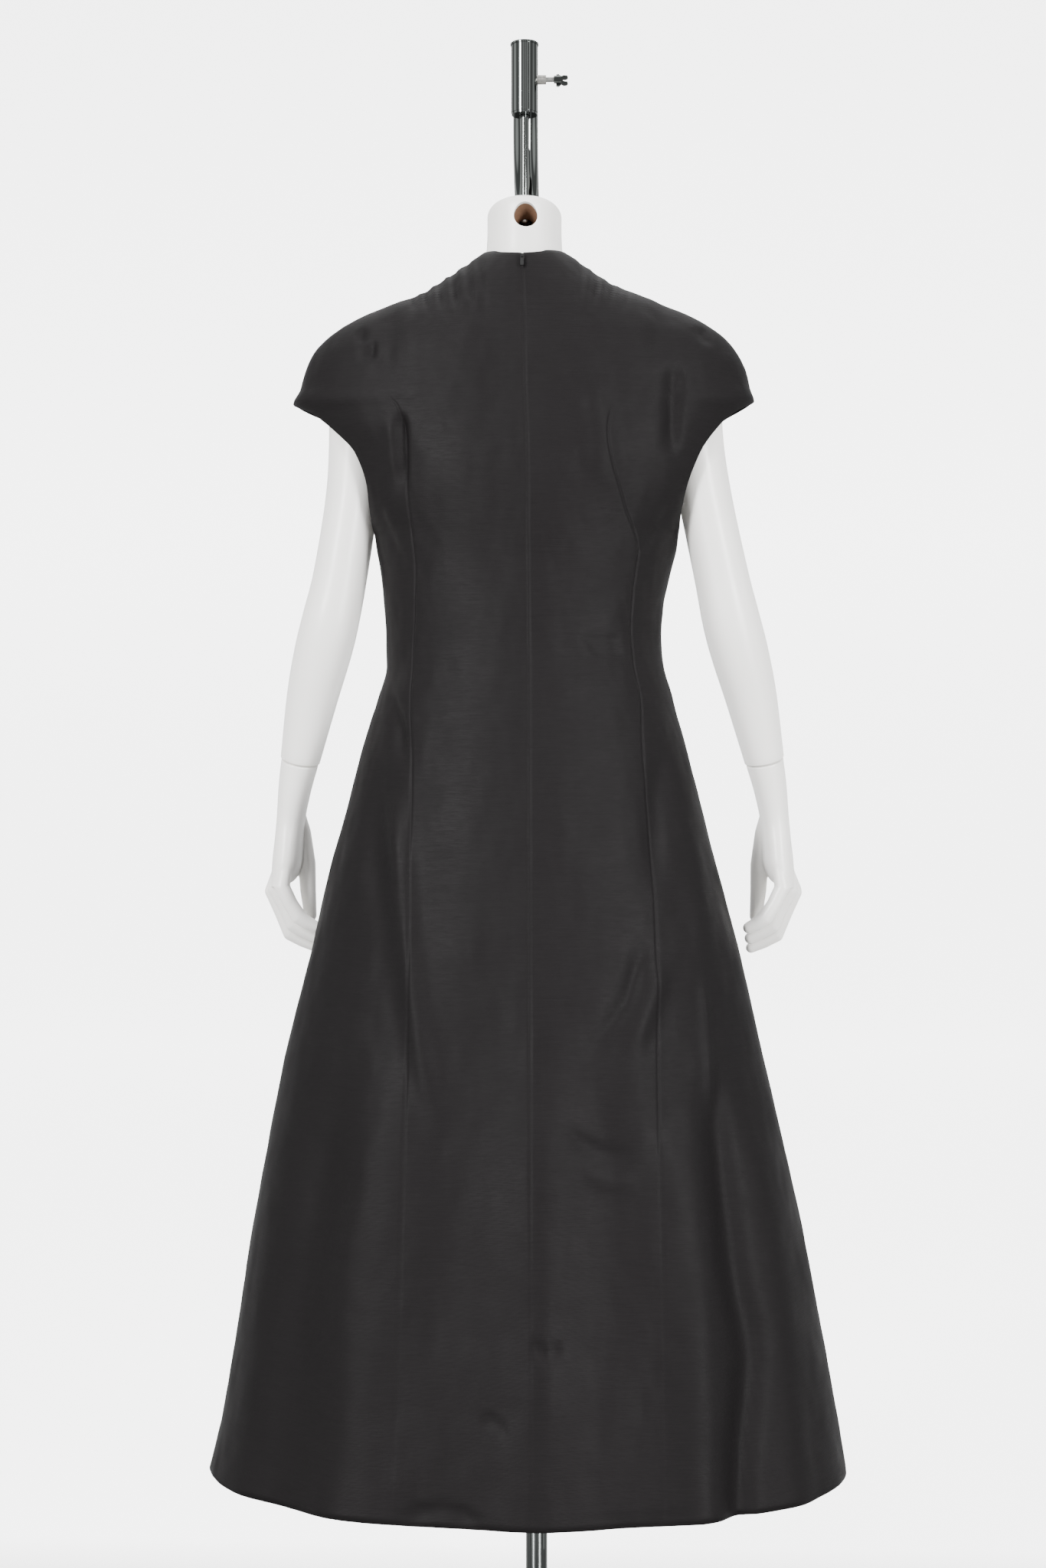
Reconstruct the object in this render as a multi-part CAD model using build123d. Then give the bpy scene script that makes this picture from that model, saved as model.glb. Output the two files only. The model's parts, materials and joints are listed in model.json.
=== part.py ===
"""A dress form mannequin that hangs by a neck rod from a floor stand, wearing a cap-sleeved dress.

Frame: millimetres, +Z up, origin on the floor under the middle of the base plate.
The rod that carries the form is in front of the origin (-Y), the stand's pole behind it (+Y).
The form turns its back to -Y, so its left arm is on the -X side.
"""

from build123d import *
import os
from math import cos, sin, radians

os.makedirs("parts", exist_ok=True)

# ---------------------------------------------------------------- driving dimensions
PLATE = (460.0, 780.0, 8.0)  # base plate, X by Y by thickness
PAD_HEIGHT = 6.0  # rubber pads under the plate
ROD_Y = -120.0  # the neck rod's axis, from the plate's middle
POLE_BEHIND_ROD = 450.0  # pole axis behind the rod axis
TUBE_R, TUBE_WALL = 15.0, 2.0  # stand tube
POLE_JOINT_Z = 1000.0  # where the lower and upper poles meet
SOCKET_R, SOCKET_WALL = 16.0, 2.5  # head socket that the rod hangs in
SOCKET_Z = (1966.0, 2047.0)
TUBE_BEHIND_SOCKET = 34.0  # tube axis behind the socket axis
CLAMP_Z = 2006.0  # thumbscrew axis
ROD_R = 4.75
SLEEVE_R, SLEEVE_LENGTH = 13.0, 45.0  # guide sleeve inside the socket
NECK_TOP = 1852.0  # neck height on the rod axis
NECK_SLANT = 10.0  # degrees, the neck's top falls towards the front
HOLE_X, HOLE_Z, HOLE_R, HOLE_TILT = 3.0, 1832.0, 14.0, 20.0  # wrench hole in the nape
POCKET_RISE = 13.5  # the pocket behind it reaches this far above its middle
SHELL = 4.0  # fibreglass wall
NECK_SEAM_Z = 1780.0  # the neck casting sits on the torso casting, under the neckline
SHOULDER_X, SHOULDER_Z = 165.0, 1648.0  # where the arms plug in
STUD_R, STUD_LENGTH = 7.0, 16.0
ARM_ASIDE = 6.5  # both arms hang this far towards the form's right
WRIST_PIN_R = 6.0
FIT = 0.05  # radial clearance of a running fit
CLOTH = 3.0  # thickness of the dress solids
WAIST_Z, HEM_Z, NECKLINE_Z = 1329.0, 343.0, 1798.0
ZIP_END_Z, ZIP_SLIDER_Z = 1112.0, 1776.0
ZIP_PROUD = 1.2  # how far the closed zip stands out of the cloth

PLATE_TOP = PAD_HEIGHT + PLATE[2]
FOREARM = Vector(0.218, 0.245, -0.945).normalized()  # right forearm, towards the hand
SEAM = Vector(284.0, 50.5, 1190.0)  # middle of the right arm's seam above the wrist

# Horizontal sections of the body: height, half width, half depth, middle in Y.
BODY = [
    (1000, 158, 96, -8),
    (1080, 170, 109, -9),
    (1160, 167, 111, -8),
    (1260, 140, 96, -4),
    (1350, 117, 82, 0),
    (1450, 134, 94, 5),
    (1530, 148, 112, 12),
    (1590, 160, 101, 6),
    (1650, 170, 86, 0),
    (1695, 162, 72, -2),
    (1722, 128, 63, -3),
    (1745, 90, 57, -3),
    (1768, 60, 53, -2),
    (1792, 47, 50, -1),
    (1820, 44.5, 48, 0),
]
# The dress: height, half width, half depth, middle in Y.
BODICE = [
    (WAIST_Z, 165, 108, 0),
    (1412, 174, 112, 5),
    (1470, 181, 120, 8),
    (1530, 196, 128, 10),
    (1578, 236, 124, 8),
    (1617, 276, 116, 5),
    (1660, 264, 108, 2),
    (1690, 246, 98, 0),
    (1708, 222, 90, -1),
    (1726, 186, 83, -2),
    (1744, 138, 76, -3),
    (1764, 100, 69, -3),
    (1782, 72, 62, -2),
    (NECKLINE_Z, 53, 57, -1),
]
SKIRT = [
    (HEM_Z, 382, 243, 0),
    (584, 338, 210, 0),
    (860, 281, 176, 0),
    (1136, 212, 136, 0),
    (1250, 182, 118, 0),
    (WAIST_Z, 165, 108, 0),
]
# The right arm: middle, direction, half width across, half depth front to back.
ARM = [
    ((SHOULDER_X + 0.5, 0, SHOULDER_Z), (1, 0, 0), 62, 46),
    ((190, 0, 1636), (0.72, 0, -0.70), 50, 46),
    ((202.5, 0, 1575), (0.17, 0, -0.98), 35, 42),
    ((212, 2, 1504), (0.17, 0.02, -0.98), 32, 38),
    ((229, 4, 1412), (0.20, 0.04, -0.98), 32.5, 35),
    ((241, 6, 1358), (0.26, 0.14, -0.95), 34.5, 34),
    ((252, 15, 1318), (0.22, 0.22, -0.95), 34.5, 34),
    ((267, 31, 1264), tuple(FOREARM), 31, 32),
    (tuple(SEAM), tuple(FOREARM), 24, 27),
]
PALM = [
    (tuple(SEAM), tuple(FOREARM), 23.4, 26.6),
    ((292, 58.5, 1154), tuple(FOREARM), 20.8, 24.5),
    ((297.8, 66, 1117), (0.17, 0.12, -0.98), 18.6, 24),
    ((302, 69, 1080), (0.20, 0.03, -0.98), 17.8, 31),
    ((310, 71, 1045), (0.10, 0.02, -0.99), 17, 36),
    ((312.5, 71, 1025), (-0.25, 0.0, -0.97), 13, 34),
]
# Fingers of the right hand: the joints from knuckle to tip, and the radius at each.
FINGERS = {
    "little": [((306.6, 45, 1034.6), 9.5), ((285.1, 46, 999.1), 9.0), ((266, 48, 988.8), 7.0)],
    "ring": [((316.7, 62, 1030), 9.5), ((294.6, 63, 985.8), 9.0), ((268, 65, 972.7), 7.3)],
    "middle": [((322, 79, 1028.3), 9.5), ((299.3, 80.5, 980), 9.0), ((270, 82, 964), 7.3)],
    "index": [((323.5, 96, 1030), 9.0), ((302, 96.5, 986), 8.5), ((273, 97, 973), 7.0)],
    "thumb": [((286.8, 76, 1099.3), 12.5), ((280.2, 82, 1061.3), 11.5), ((276.4, 86, 996.8), 8.3)],
}
SIDES = {"right": 1, "left": -1}

FINER = 3  # outlines lofted for each one listed


# ---------------------------------------------------------------- helpers
def write(name, shape, on_rod=True):
    """Writes one sub-part. What hangs from the rod is modelled about the rod's axis."""
    placed = shape.moved(Location((0, ROD_Y, 0))) if on_rod else shape
    export_step(placed, f"parts/{name}.step")


def tube(radius, inner, z0, z1, x=0.0, y=0.0):
    body = Pos(x, y, (z0 + z1) / 2) * Cylinder(radius, z1 - z0)
    return body - Pos(x, y, (z0 + z1) / 2) * Cylinder(inner, z1 - z0) if inner else body


def rod_between(a, b, radius):
    """A round bar from point a to point b."""
    a, b = Vector(a), Vector(b)
    plane = Plane(origin=a, z_dir=b - a)
    return extrude(plane * Circle(radius), (b - a).length)


def smooth_rows(rows):
    """More outlines between the listed ones, on a smooth curve through them."""
    out = []
    last = len(rows) - 1
    for i in range(last):
        around = rows[max(i - 1, 0)], rows[i], rows[i + 1], rows[min(i + 2, last)]
        for k in range(FINER):
            t = k / FINER
            row = []
            for p, q, r, s in zip(*around):
                bend = (2 * p - 5 * q + 4 * r - s) * t**2 + (3 * q - p - 3 * r + s) * t**3
                row.append(q + ((r - p) * t + bend) / 2)
            out.append(row)
    return out + [rows[-1]]


def oval(plane, half_x, half_y):
    """An ellipse of four arcs, which start at the plane's x axis whichever way it is longer."""
    if half_x >= half_y:
        long_plane, first = plane, 0
    else:
        long_plane, first = Plane(origin=plane.origin, x_dir=plane.y_dir, z_dir=plane.z_dir), -90
    long_half, short_half = max(half_x, half_y), min(half_x, half_y)
    arcs = []
    for start in range(first, first + 360, 90):
        arc = Edge.make_ellipse(long_half, short_half, long_plane, start_angle=start, end_angle=start + 90)
        arcs.append(arc)
    return Wire(arcs)


def skin(rows, shrink=0.0):
    """A solid through level ovals, each taken in by shrink."""
    wires = []
    for z, half_x, half_y, mid_y in smooth_rows(rows):
        plane = Plane(origin=(0, mid_y, z))
        wires.append(oval(plane, half_x - shrink, half_y - shrink))
    return Part() + Solid.make_loft(wires, ruled=True)


def limb(rows, shrink=0.0):
    """A solid through ovals that stand square to a limb."""
    wires = []
    for x, y, z, dx, dy, dz, half_x, half_y in smooth_rows([(*m, *d, a, b) for m, d, a, b in rows]):
        d = Vector(dx, dy, dz)
        plane = Plane(origin=(x, y, z), x_dir=Vector(0, 1, 0).cross(d), z_dir=d)
        wires.append(oval(plane, half_x - shrink, half_y - shrink))
    return Part() + Solid.make_loft(wires, ruled=True)


def level_box(z0, z1, size=1200.0):
    return Pos(0, 0, (z0 + z1) / 2) * Box(size, size, z1 - z0)


def flip(shape):
    """The left-hand copy of a right-hand part."""
    return mirror(shape, about=Plane.YZ)


def on_side(shape, sign):
    """A right-hand part as it is, or flipped to the left."""
    return shape if sign > 0 else flip(shape)


# ---------------------------------------------------------------- base and poles
def pad_places():
    inset = 45.0
    half_x, half_y = PLATE[0] / 2 - inset, PLATE[1] / 2 - inset
    return [(sx * half_x, sy * half_y) for sx in (-1, 1) for sy in (-1, 1)]


def flange_bolt_places():
    return [(34 * cos(radians(a)), 34 * sin(radians(a))) for a in (45, 135, 225, 315)]


def build_base():
    pole_y = ROD_Y + POLE_BEHIND_ROD
    outline = RectangleRounded(PLATE[0], PLATE[1], 32)
    plate = Pos(0, 0, PAD_HEIGHT) * extrude(outline, PLATE[2])
    plate = chamfer(plate.faces().sort_by(Axis.Z)[-1].edges(), 1.5)
    screw_r, head_r, head_depth = 2.5, 5.0, 2.5
    pads, screws = [], []
    for x, y in pad_places():
        pad = tube(18, screw_r, 0, PAD_HEIGHT, x, y) - tube(head_r, 0, 0, head_depth, x, y)
        shank = tube(screw_r, 0, head_depth, PLATE_TOP - 2, x, y)
        screw = shank + tube(head_r, 0, 0.4, head_depth, x, y)
        plate -= tube(screw_r, 0, PAD_HEIGHT, PLATE_TOP - 2, x, y)
        pads.append(pad)
        screws.append(screw)
    bolt_r, flange_top, collar_top = 3.0, PLATE_TOP + 7, 55.0
    flange = tube(48, TUBE_R, PLATE_TOP, flange_top, 0, pole_y)
    flange += tube(21, TUBE_R, PLATE_TOP, collar_top, 0, pole_y)
    flange = chamfer(flange.edges().filter_by(GeomType.CIRCLE).group_by(Axis.Z)[-1][-1], 1.5)
    bolts = []
    for dx, dy in flange_bolt_places():
        x, y = dx, pole_y + dy
        hole = tube(bolt_r, 0, PAD_HEIGHT, flange_top, x, y)
        flange -= hole
        plate -= hole
        head = Pos(x, y, flange_top) * extrude(Circle(5.5), 4) - Pos(x, y, flange_top + 2) * extrude(
            RegularPolygon(2.5, 6), 2
        )
        bolts.append(head + tube(bolt_r, 0, PAD_HEIGHT + 1, flange_top, x, y))
    grub_z, grub_r = 42.0, 2.5
    grub = rod_between((0, pole_y - 10, grub_z), (0, pole_y - 20.5, grub_z), grub_r)
    flange -= rod_between((0, pole_y - 10, grub_z), (0, pole_y - 24, grub_z), grub_r)
    write("base_plate", plate, False)
    write("base_pads", Compound(pads), False)
    write("pad_screws", Compound(screws), False)
    write("pole_flange", flange, False)
    write("flange_bolts", Compound(bolts), False)
    write("flange_grub_screw", grub - tube(TUBE_R, 0, 0, 100, 0, pole_y), False)


def build_poles():
    pole_y = POLE_BEHIND_ROD
    inner = TUBE_R - TUBE_WALL
    lower = tube(TUBE_R, inner, PLATE_TOP, POLE_JOINT_Z, 0, pole_y)
    spigot = tube(inner, inner - 2, POLE_JOINT_Z - 70, POLE_JOINT_Z + 70, 0, pole_y)
    low_bend_z, high_bend_z, top_z = 1640.0, 1915.0, 2040.0
    corners = [
        (0, pole_y, POLE_JOINT_Z),
        (0, pole_y, low_bend_z),
        (0, TUBE_BEHIND_SOCKET, high_bend_z),
        (0, TUBE_BEHIND_SOCKET, top_z),
    ]
    path = FilletPolyline(*corners, radius=[140, 100])
    start = Plane(origin=corners[0], z_dir=(0, 0, 1))
    upper = sweep(start * (Circle(TUBE_R) - Circle(inner)), path=path)
    plug = tube(TUBE_R, 0, top_z, top_z + 3, 0, TUBE_BEHIND_SOCKET)
    plug = fillet(plug.faces().sort_by(Axis.Z)[-1].edges(), 2)
    plug += tube(inner, 0, top_z - 12, top_z, 0, TUBE_BEHIND_SOCKET)
    write("lower_pole", lower)
    write("pole_spigot", spigot)
    write("upper_pole", upper)
    write("pole_plug", plug)


# ---------------------------------------------------------------- head socket and clamp
def clamp_bar(x0, x1, radius):
    """A round bar on the thumbscrew's axis."""
    return rod_between((x0, 0, CLAMP_Z), (x1, 0, CLAMP_Z), radius)


def build_head():
    bore = SOCKET_R - SOCKET_WALL
    boss_r, boss_end = 5.5, 26.0
    screw_r = 3.0
    z0, z1 = SOCKET_Z
    socket = tube(SOCKET_R, bore, z0, z1) - clamp_bar(0, boss_end, boss_r)
    floor = tube(SOCKET_R - 0.6, ROD_R + 1.6, z0 - 2.5, z0)
    cap = tube(SOCKET_R + 0.9, 0, z1, z1 + 3)
    cap = fillet(cap.faces().sort_by(Axis.Z)[-1].edges(), 1.2)
    cap += tube(bore, bore - 2, z1 - 6, z1)
    boss = clamp_bar(bore + 0.2, boss_end, boss_r) - clamp_bar(0, boss_end, screw_r + FIT)
    boss -= tube(bore, 0, z0, z1)
    middle_z = (z0 + z1) / 2
    saddle = Pos(0, TUBE_BEHIND_SOCKET / 2, middle_z) * Box(10, TUBE_BEHIND_SOCKET, 62)
    saddle -= tube(SOCKET_R, 0, z0 - 1, z1 + 1)
    saddle -= tube(TUBE_R, 0, z0 - 1, z1 + 1, 0, TUBE_BEHIND_SOCKET)
    write("head_socket", socket)
    write("socket_floor", floor)
    write("socket_cap", cap)
    write("clamp_boss", boss)
    write("socket_saddle", saddle)

    pad_end, head_start, head_length = 16.4, 37.8, 14.4
    write("clamp_pad", clamp_bar(SLEEVE_R + 0.3, pad_end, 2.7))
    hub_start = head_start - 2.5
    shank = clamp_bar(pad_end + 0.2, hub_start, screw_r)
    half = [(0, 2.8), (0.3, 6.8), (3.4, 7.2), (6.4, 4.4), (8.4, 5.9), (13, 5.7)]
    half += [(head_length, 4.0), (13.6, 1.7), (8.2, 0.9)]
    profile = [(head_start + u, v) for u, v in half]
    profile += [(x, -v) for x, v in reversed(profile)]
    face = Plane(origin=(0, 2.2, CLAMP_Z), x_dir=(1, 0, 0), z_dir=(0, -1, 0)) * Polygon(*profile, align=None)
    wings = extrude(face, 4.4)
    wings = fillet(wings.edges().filter_by(Axis.Y), 0.6)
    head = wings + clamp_bar(hub_start, head_start + 6.5, 4.6)
    write("thumbscrew_shank", shank)
    write("thumbscrew_wings", head)


def build_hanger():
    rest = SOCKET_Z[0] + 0.2
    top = rest + SLEEVE_LENGTH
    write("guide_sleeve", tube(SLEEVE_R, ROD_R + FIT, rest, top))
    washer_top = top + 1.7
    write("rod_top_washer", tube(11.5, ROD_R, top + 0.2, washer_top))
    nut = Pos(0, 0, washer_top) * extrude(RegularPolygon(8.5, 6), 8)
    write("rod_top_nut", nut - tube(ROD_R, 0, washer_top, washer_top + 8))
    ceiling = HOLE_Z + POCKET_RISE
    washer_low = ceiling - 1.6
    nut_low = washer_low - 6.5
    write("hanger_rod", tube(ROD_R, 0, nut_low, washer_top + 12))
    write("neck_washer", tube(11, ROD_R, washer_low, ceiling))
    dome = Pos(0, 0, nut_low) * Sphere(7.6) & level_box(nut_low - 8, nut_low)
    nut = Pos(0, 0, nut_low) * extrude(RegularPolygon(8.8, 6), washer_low - nut_low)
    write("neck_dome_nut", nut + dome - tube(ROD_R, 0, nut_low, washer_low))


# ---------------------------------------------------------------- torso
def neck_stub(shrink=0.0, lower=0.0):
    """The straight top of the neck, cut off at a slant."""
    z, half_x, half_y, mid_y = BODY[-1]
    stub = Pos(0, mid_y, z) * extrude(Ellipse(half_x - shrink, half_y - shrink), 100)
    plane = Plane(origin=(0, 0, NECK_TOP - lower)).rotated((-NECK_SLANT, 0, 0))
    return stub - extrude(plane * Rectangle(400, 400), 120)


def wrench_hole():
    """The bore in the nape and the round pocket it leads to."""
    outward = Vector(0, -cos(radians(HOLE_TILT)), sin(radians(HOLE_TILT)))
    mouth = Vector(HOLE_X, -46, HOLE_Z) + outward * 30
    inner = Vector(HOLE_X, -46, HOLE_Z) - outward * 34
    pocket = tube(HOLE_R, 0, HOLE_Z - 20, HOLE_Z + POCKET_RISE)
    return rod_between(mouth, inner, HOLE_R) + pocket


def shoulder_bar(sign, x0, x1, radius, aside=(0, 0)):
    """A round bar along X at one shoulder, moved aside in Y and Z."""
    y, z = aside[0], SHOULDER_Z + aside[1]
    return rod_between((sign * x0, y, z), (sign * x1, y, z), radius)


def build_torso():
    stub = neck_stub()
    stub = fillet(stub.faces().sort_by(Axis.Z)[-1].edges(), 13)
    outer = skin(BODY) + stub
    side = Pos(SHOULDER_X + 200, 0, SHOULDER_Z) * Box(400, 400, 260)
    outer = outer - side - flip(side)
    inner = skin(BODY, SHELL) + neck_stub(SHELL, SHELL + 2)
    inner_side = Pos(SHOULDER_X + 200 - SHELL, 0, SHOULDER_Z) * Box(400, 400, 300)
    inner = inner - inner_side - flip(inner_side)
    cap = inner & level_box(990, 1012)
    cap += outer & level_box(990, 1004)
    rod_hole = tube(ROD_R, 0, 1700, 1900)
    neck = (outer & level_box(NECK_SEAM_Z, 1950)) - inner - wrench_hole() - rod_hole
    core = (inner & level_box(NECK_SEAM_Z, 1950)) - wrench_hole() - rod_hole
    shell = (outer & level_box(1004, NECK_SEAM_Z)) - inner
    plate_r, plate_depth = 30.0, 5.0
    face = SHOULDER_X
    plates, bolts = {}, []
    for side, sign in SIDES.items():
        shell -= shoulder_bar(sign, face - plate_depth, face, plate_r)
        disc = shoulder_bar(sign, face - plate_depth - 4, face, plate_r) - shell
        disc -= shoulder_bar(sign, face - 40, face + 1, STUD_R + FIT)
        for a in (90, 210, 330):
            aside = 20 * cos(radians(a)), 20 * sin(radians(a))
            bolt = shoulder_bar(sign, face - 9, face - 1.5, 2.0, aside)
            bolt += shoulder_bar(sign, face - 3, face - 0.5, 3.5, aside)
            disc -= bolt
            bolts.append(bolt)
        plates[side] = disc
    write("torso_shell", shell)
    write("torso_base_cap", cap)
    write("neck_shell", neck)
    write("neck_core", core)
    for side, disc in plates.items():
        write(f"{side}_shoulder_plate", disc)
    write("shoulder_plate_screws", Compound(bolts))


# ---------------------------------------------------------------- arms and hands
def arm_rows(sign):
    """The arm's outlines, moved towards the form's right except at the shoulder."""
    rows = []
    for (x, y, z), direction, half_x, half_y in ARM:
        share = min(max(1600 - z, 0) / 150, 1)
        rows.append(((x + sign * ARM_ASIDE * share, y, z), direction, half_x, half_y))
    return rows


def build_arms():
    away = FOREARM * 30
    bush_r, stud_plate_r = 10.0, 24.0
    x0 = SHOULDER_X + 0.5
    wall_in = Pos(SHOULDER_X - 30 + 6, 0, SHOULDER_Z) * Box(60, 300, 300)
    recess = shoulder_bar(1, x0 - 1, x0 + 4, stud_plate_r)
    stud = shoulder_bar(1, x0, x0 + 4, stud_plate_r)
    stud += shoulder_bar(1, x0 - STUD_LENGTH, x0 + 4, STUD_R)
    for side, sign in SIDES.items():
        seam = SEAM + Vector(sign * ARM_ASIDE, 0, 0)
        rows = arm_rows(sign)
        wall_out = Plane(origin=seam - away, z_dir=FOREARM) * extrude(Circle(80), 60)
        hollow = limb(rows, SHELL) - wall_in - wall_out
        bush_hole = rod_between(seam - away, seam + away, bush_r)
        shell = limb(rows) - hollow - bush_hole - recess
        bush = rod_between(seam - away, seam - FOREARM * 0.2, bush_r)
        bush -= rod_between(seam - FOREARM * 26, seam + away, WRIST_PIN_R + FIT)
        write(f"{side}_arm_shell", on_side(shell, sign))
        write(f"{side}_wrist_bush", on_side(bush, sign))
        write(f"{side}_arm_stud", on_side(stud, sign))


def finger(joints):
    """Tapered bones with a ball at every joint."""
    whole = Part()
    for (a, ra), (b, rb) in zip(joints, joints[1:]):
        a, b = Vector(*a), Vector(*b)
        length = (b - a).length
        whole += Plane(origin=a, z_dir=b - a) * Pos(0, 0, length / 2) * Cone(ra, rb, length)
    for place, radius in joints:
        whole += Pos(*place) * Sphere(radius)
    return whole


def build_hands():
    hand = limb(PALM)
    for joints in FINGERS.values():
        hand += finger(joints)
    gap = 0.4  # seam between forearm and hand
    hand -= Plane(origin=SEAM, z_dir=FOREARM) * Pos(0, 0, -30 + gap) * extrude(Circle(80), 30)
    hand -= rod_between(SEAM, SEAM + FOREARM * 20, WRIST_PIN_R)
    pin = rod_between(SEAM - FOREARM * 25, SEAM + FOREARM * 20, WRIST_PIN_R)
    for side, sign in SIDES.items():
        aside = Location((ARM_ASIDE, 0, 0))
        write(f"{side}_hand", on_side(hand, sign).moved(aside))
        write(f"{side}_wrist_pin", on_side(pin, sign).moved(aside))


# ---------------------------------------------------------------- dress
def back_line(rows):
    """Points down the middle of the dress's back."""
    return [Vector(0, mid_y - half_y, z) for z, _, half_y, mid_y in smooth_rows(rows)]


def on_back(z):
    """The point of the back line at a height."""
    line = back_line(BODICE)
    for low, high in zip(line, line[1:]):
        if low.Z <= z <= high.Z:
            return low + (high - low) * ((z - low.Z) / (high.Z - low.Z))


def arm_passage():
    """The room around the right arm, cut from the bodice as its armhole."""
    rows = [
        ((222, 4, 1450), (0, 0, 1), 46, 46),
        ((218, 3, 1530), (0, 0, 1), 59, 60),
        ((206, 1, 1590), (0, 0, 1), 69, 70),
        ((200, 0, 1660), (0, 0, 1), 56, 60),
    ]
    return limb(rows)


def build_dress():
    lining = [(z - CLOTH, *rest) for z, *rest in BODICE] + [(NECKLINE_Z + 2, *BODICE[-1][1:])]
    bodice = skin(BODICE) - skin(lining, CLOTH)
    bodice = bodice - arm_passage() - flip(arm_passage())
    skirt = skin(SKIRT) - skin(SKIRT, CLOTH)
    strip = build_zip_tape()
    write("dress_bodice", bodice - strip)
    write("dress_skirt", skirt - strip)
    write("zip_tape", strip)
    build_zip_slider(strip)


def build_zip_tape():
    """The closed zip, set into the back from the neckline to below the waist."""
    line = [p for p in back_line(SKIRT) if p.Z > ZIP_END_Z] + back_line(BODICE)[1:]
    half_depth = Vector(0, ZIP_PROUD, 0)
    outside = Polyline([p - half_depth for p in line])
    inside = Polyline([p + half_depth for p in line])
    ends = [Line(outside @ 0, inside @ 0), Line(outside @ 1, inside @ 1)]
    face = make_face([outside, inside, *ends])
    return extrude(face, 1.5, dir=(1, 0, 0), both=True)


def build_zip_slider(strip):
    """The slider lies along the back's slope, and its pull turns on a cross bar."""
    up = (on_back(ZIP_SLIDER_Z + 4) - on_back(ZIP_SLIDER_Z - 14)).normalized()
    lie = Plane(origin=on_back(ZIP_SLIDER_Z), x_dir=(1, 0, 0), z_dir=Vector(1, 0, 0).cross(up))
    face, bar = ZIP_PROUD + 0.3, 5.0
    body = Pos(0, 0, face + 1.3) * Box(4.4, 8, 2.6)
    body = fillet(body.edges().filter_by(Axis.Z), 1.2)
    lug = Pos(0, 0, face + 3.6) * Box(2, 4, 2)
    lug -= rod_between((-4, 0, bar), (4, 0, bar), 0.6)
    tab = Pos(0, -6.3, bar) * Box(4.2, 15, 1)
    tab = fillet(tab.edges().filter_by(Axis.Z), 1.9)
    tab -= Pos(0, 0, bar) * Box(2.6, 5, 2)
    tab += rod_between((-1.6, 0, bar), (1.6, 0, bar), 0.5)
    write("zip_slider", lie * (body + lug))
    write("zip_pull", lie * tab)


build_base()
build_poles()
build_head()
build_hanger()
build_torso()
build_arms()
build_hands()
build_dress()
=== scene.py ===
"""The looks of the hanging form and its dress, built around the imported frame. Metres throughout."""

import json
from math import cos, sin, tan, pi, radians, sqrt

import bmesh
import bpy
import numpy as np
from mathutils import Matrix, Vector, noise


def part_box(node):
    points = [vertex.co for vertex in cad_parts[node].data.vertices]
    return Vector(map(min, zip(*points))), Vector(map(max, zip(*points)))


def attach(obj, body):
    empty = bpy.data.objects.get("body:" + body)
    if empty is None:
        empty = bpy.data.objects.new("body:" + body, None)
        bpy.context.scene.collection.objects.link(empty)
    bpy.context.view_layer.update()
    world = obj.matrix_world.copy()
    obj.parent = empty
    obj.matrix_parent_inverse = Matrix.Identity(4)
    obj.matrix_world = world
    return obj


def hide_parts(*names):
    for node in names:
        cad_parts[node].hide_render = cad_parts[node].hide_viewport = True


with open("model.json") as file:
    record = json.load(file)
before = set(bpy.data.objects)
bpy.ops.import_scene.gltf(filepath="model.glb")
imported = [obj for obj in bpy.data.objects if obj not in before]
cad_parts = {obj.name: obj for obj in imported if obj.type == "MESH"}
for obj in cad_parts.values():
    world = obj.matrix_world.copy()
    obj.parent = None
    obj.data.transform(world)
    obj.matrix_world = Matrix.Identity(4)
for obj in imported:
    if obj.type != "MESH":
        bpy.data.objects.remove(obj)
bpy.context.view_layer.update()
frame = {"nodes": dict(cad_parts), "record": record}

# ---------------------------------------------------------------- driving dimensions
MM = 0.001
rod_low, rod_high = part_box("hanger_rod")
ROD_Y = (rod_low[1] + rod_high[1]) / 2  # everything that hangs is measured from the rod's axis
CLOTH = 1.1  # mm, thickness of the dress where it shows an edge
TIP_Z, UNDERARM_Z, WAIST_Z, HEM_Z, NECK_Z = 1617.0, 1458.0, 1329.0, 343.0, 1794.5
ZIP_END_Z = 1112.0
ARMHOLE = 54.0  # mm, half of the sleeve opening, front to back
BACK_FOLD_GAIN = 1.35  # how much deeper the back's folds are than their listed heights
CAMERA_HEIGHT, CAMERA_DISTANCE, CAMERA_TURN = 1.160, 2.668, 2.2
CAMERA_LENS = 50.98


# ---------------------------------------------------------------- numbers
def curve(points):
    """A smooth curve through (place, value) points that doesn't swing past them."""
    points = sorted(points)
    x = np.array([p[0] for p in points], float)
    y = np.array([p[1] for p in points], float)
    h, d = np.diff(x), np.diff(y) / np.diff(x)
    slope = np.zeros(len(x))
    slope[0], slope[-1] = d[0], d[-1]
    for i in range(1, len(x) - 1):
        if d[i - 1] * d[i] > 0:
            a, b = 2 * h[i] + h[i - 1], h[i] + 2 * h[i - 1]
            slope[i] = (a + b) / (a / d[i - 1] + b / d[i])

    def value(at):
        at = np.clip(np.asarray(at, float), x[0], x[-1])
        i = np.clip(np.searchsorted(x, at, side="right") - 1, 0, len(x) - 2)
        t = (at - x[i]) / h[i]
        rise = y[i] * (1 + 2 * t) * (1 - t) ** 2 + y[i + 1] * t * t * (3 - 2 * t)
        return rise + h[i] * (slope[i] * t * (1 - t) ** 2 - slope[i + 1] * t * t * (1 - t))

    return value


def ease(x, low, high):
    """0 below low, 1 above high, smooth between."""
    t = np.clip((x - low) / (high - low), 0, 1)
    return t * t * (3 - 2 * t)


def bump(x, middle, width):
    return np.exp(-(((x - middle) / width) ** 2))


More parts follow.
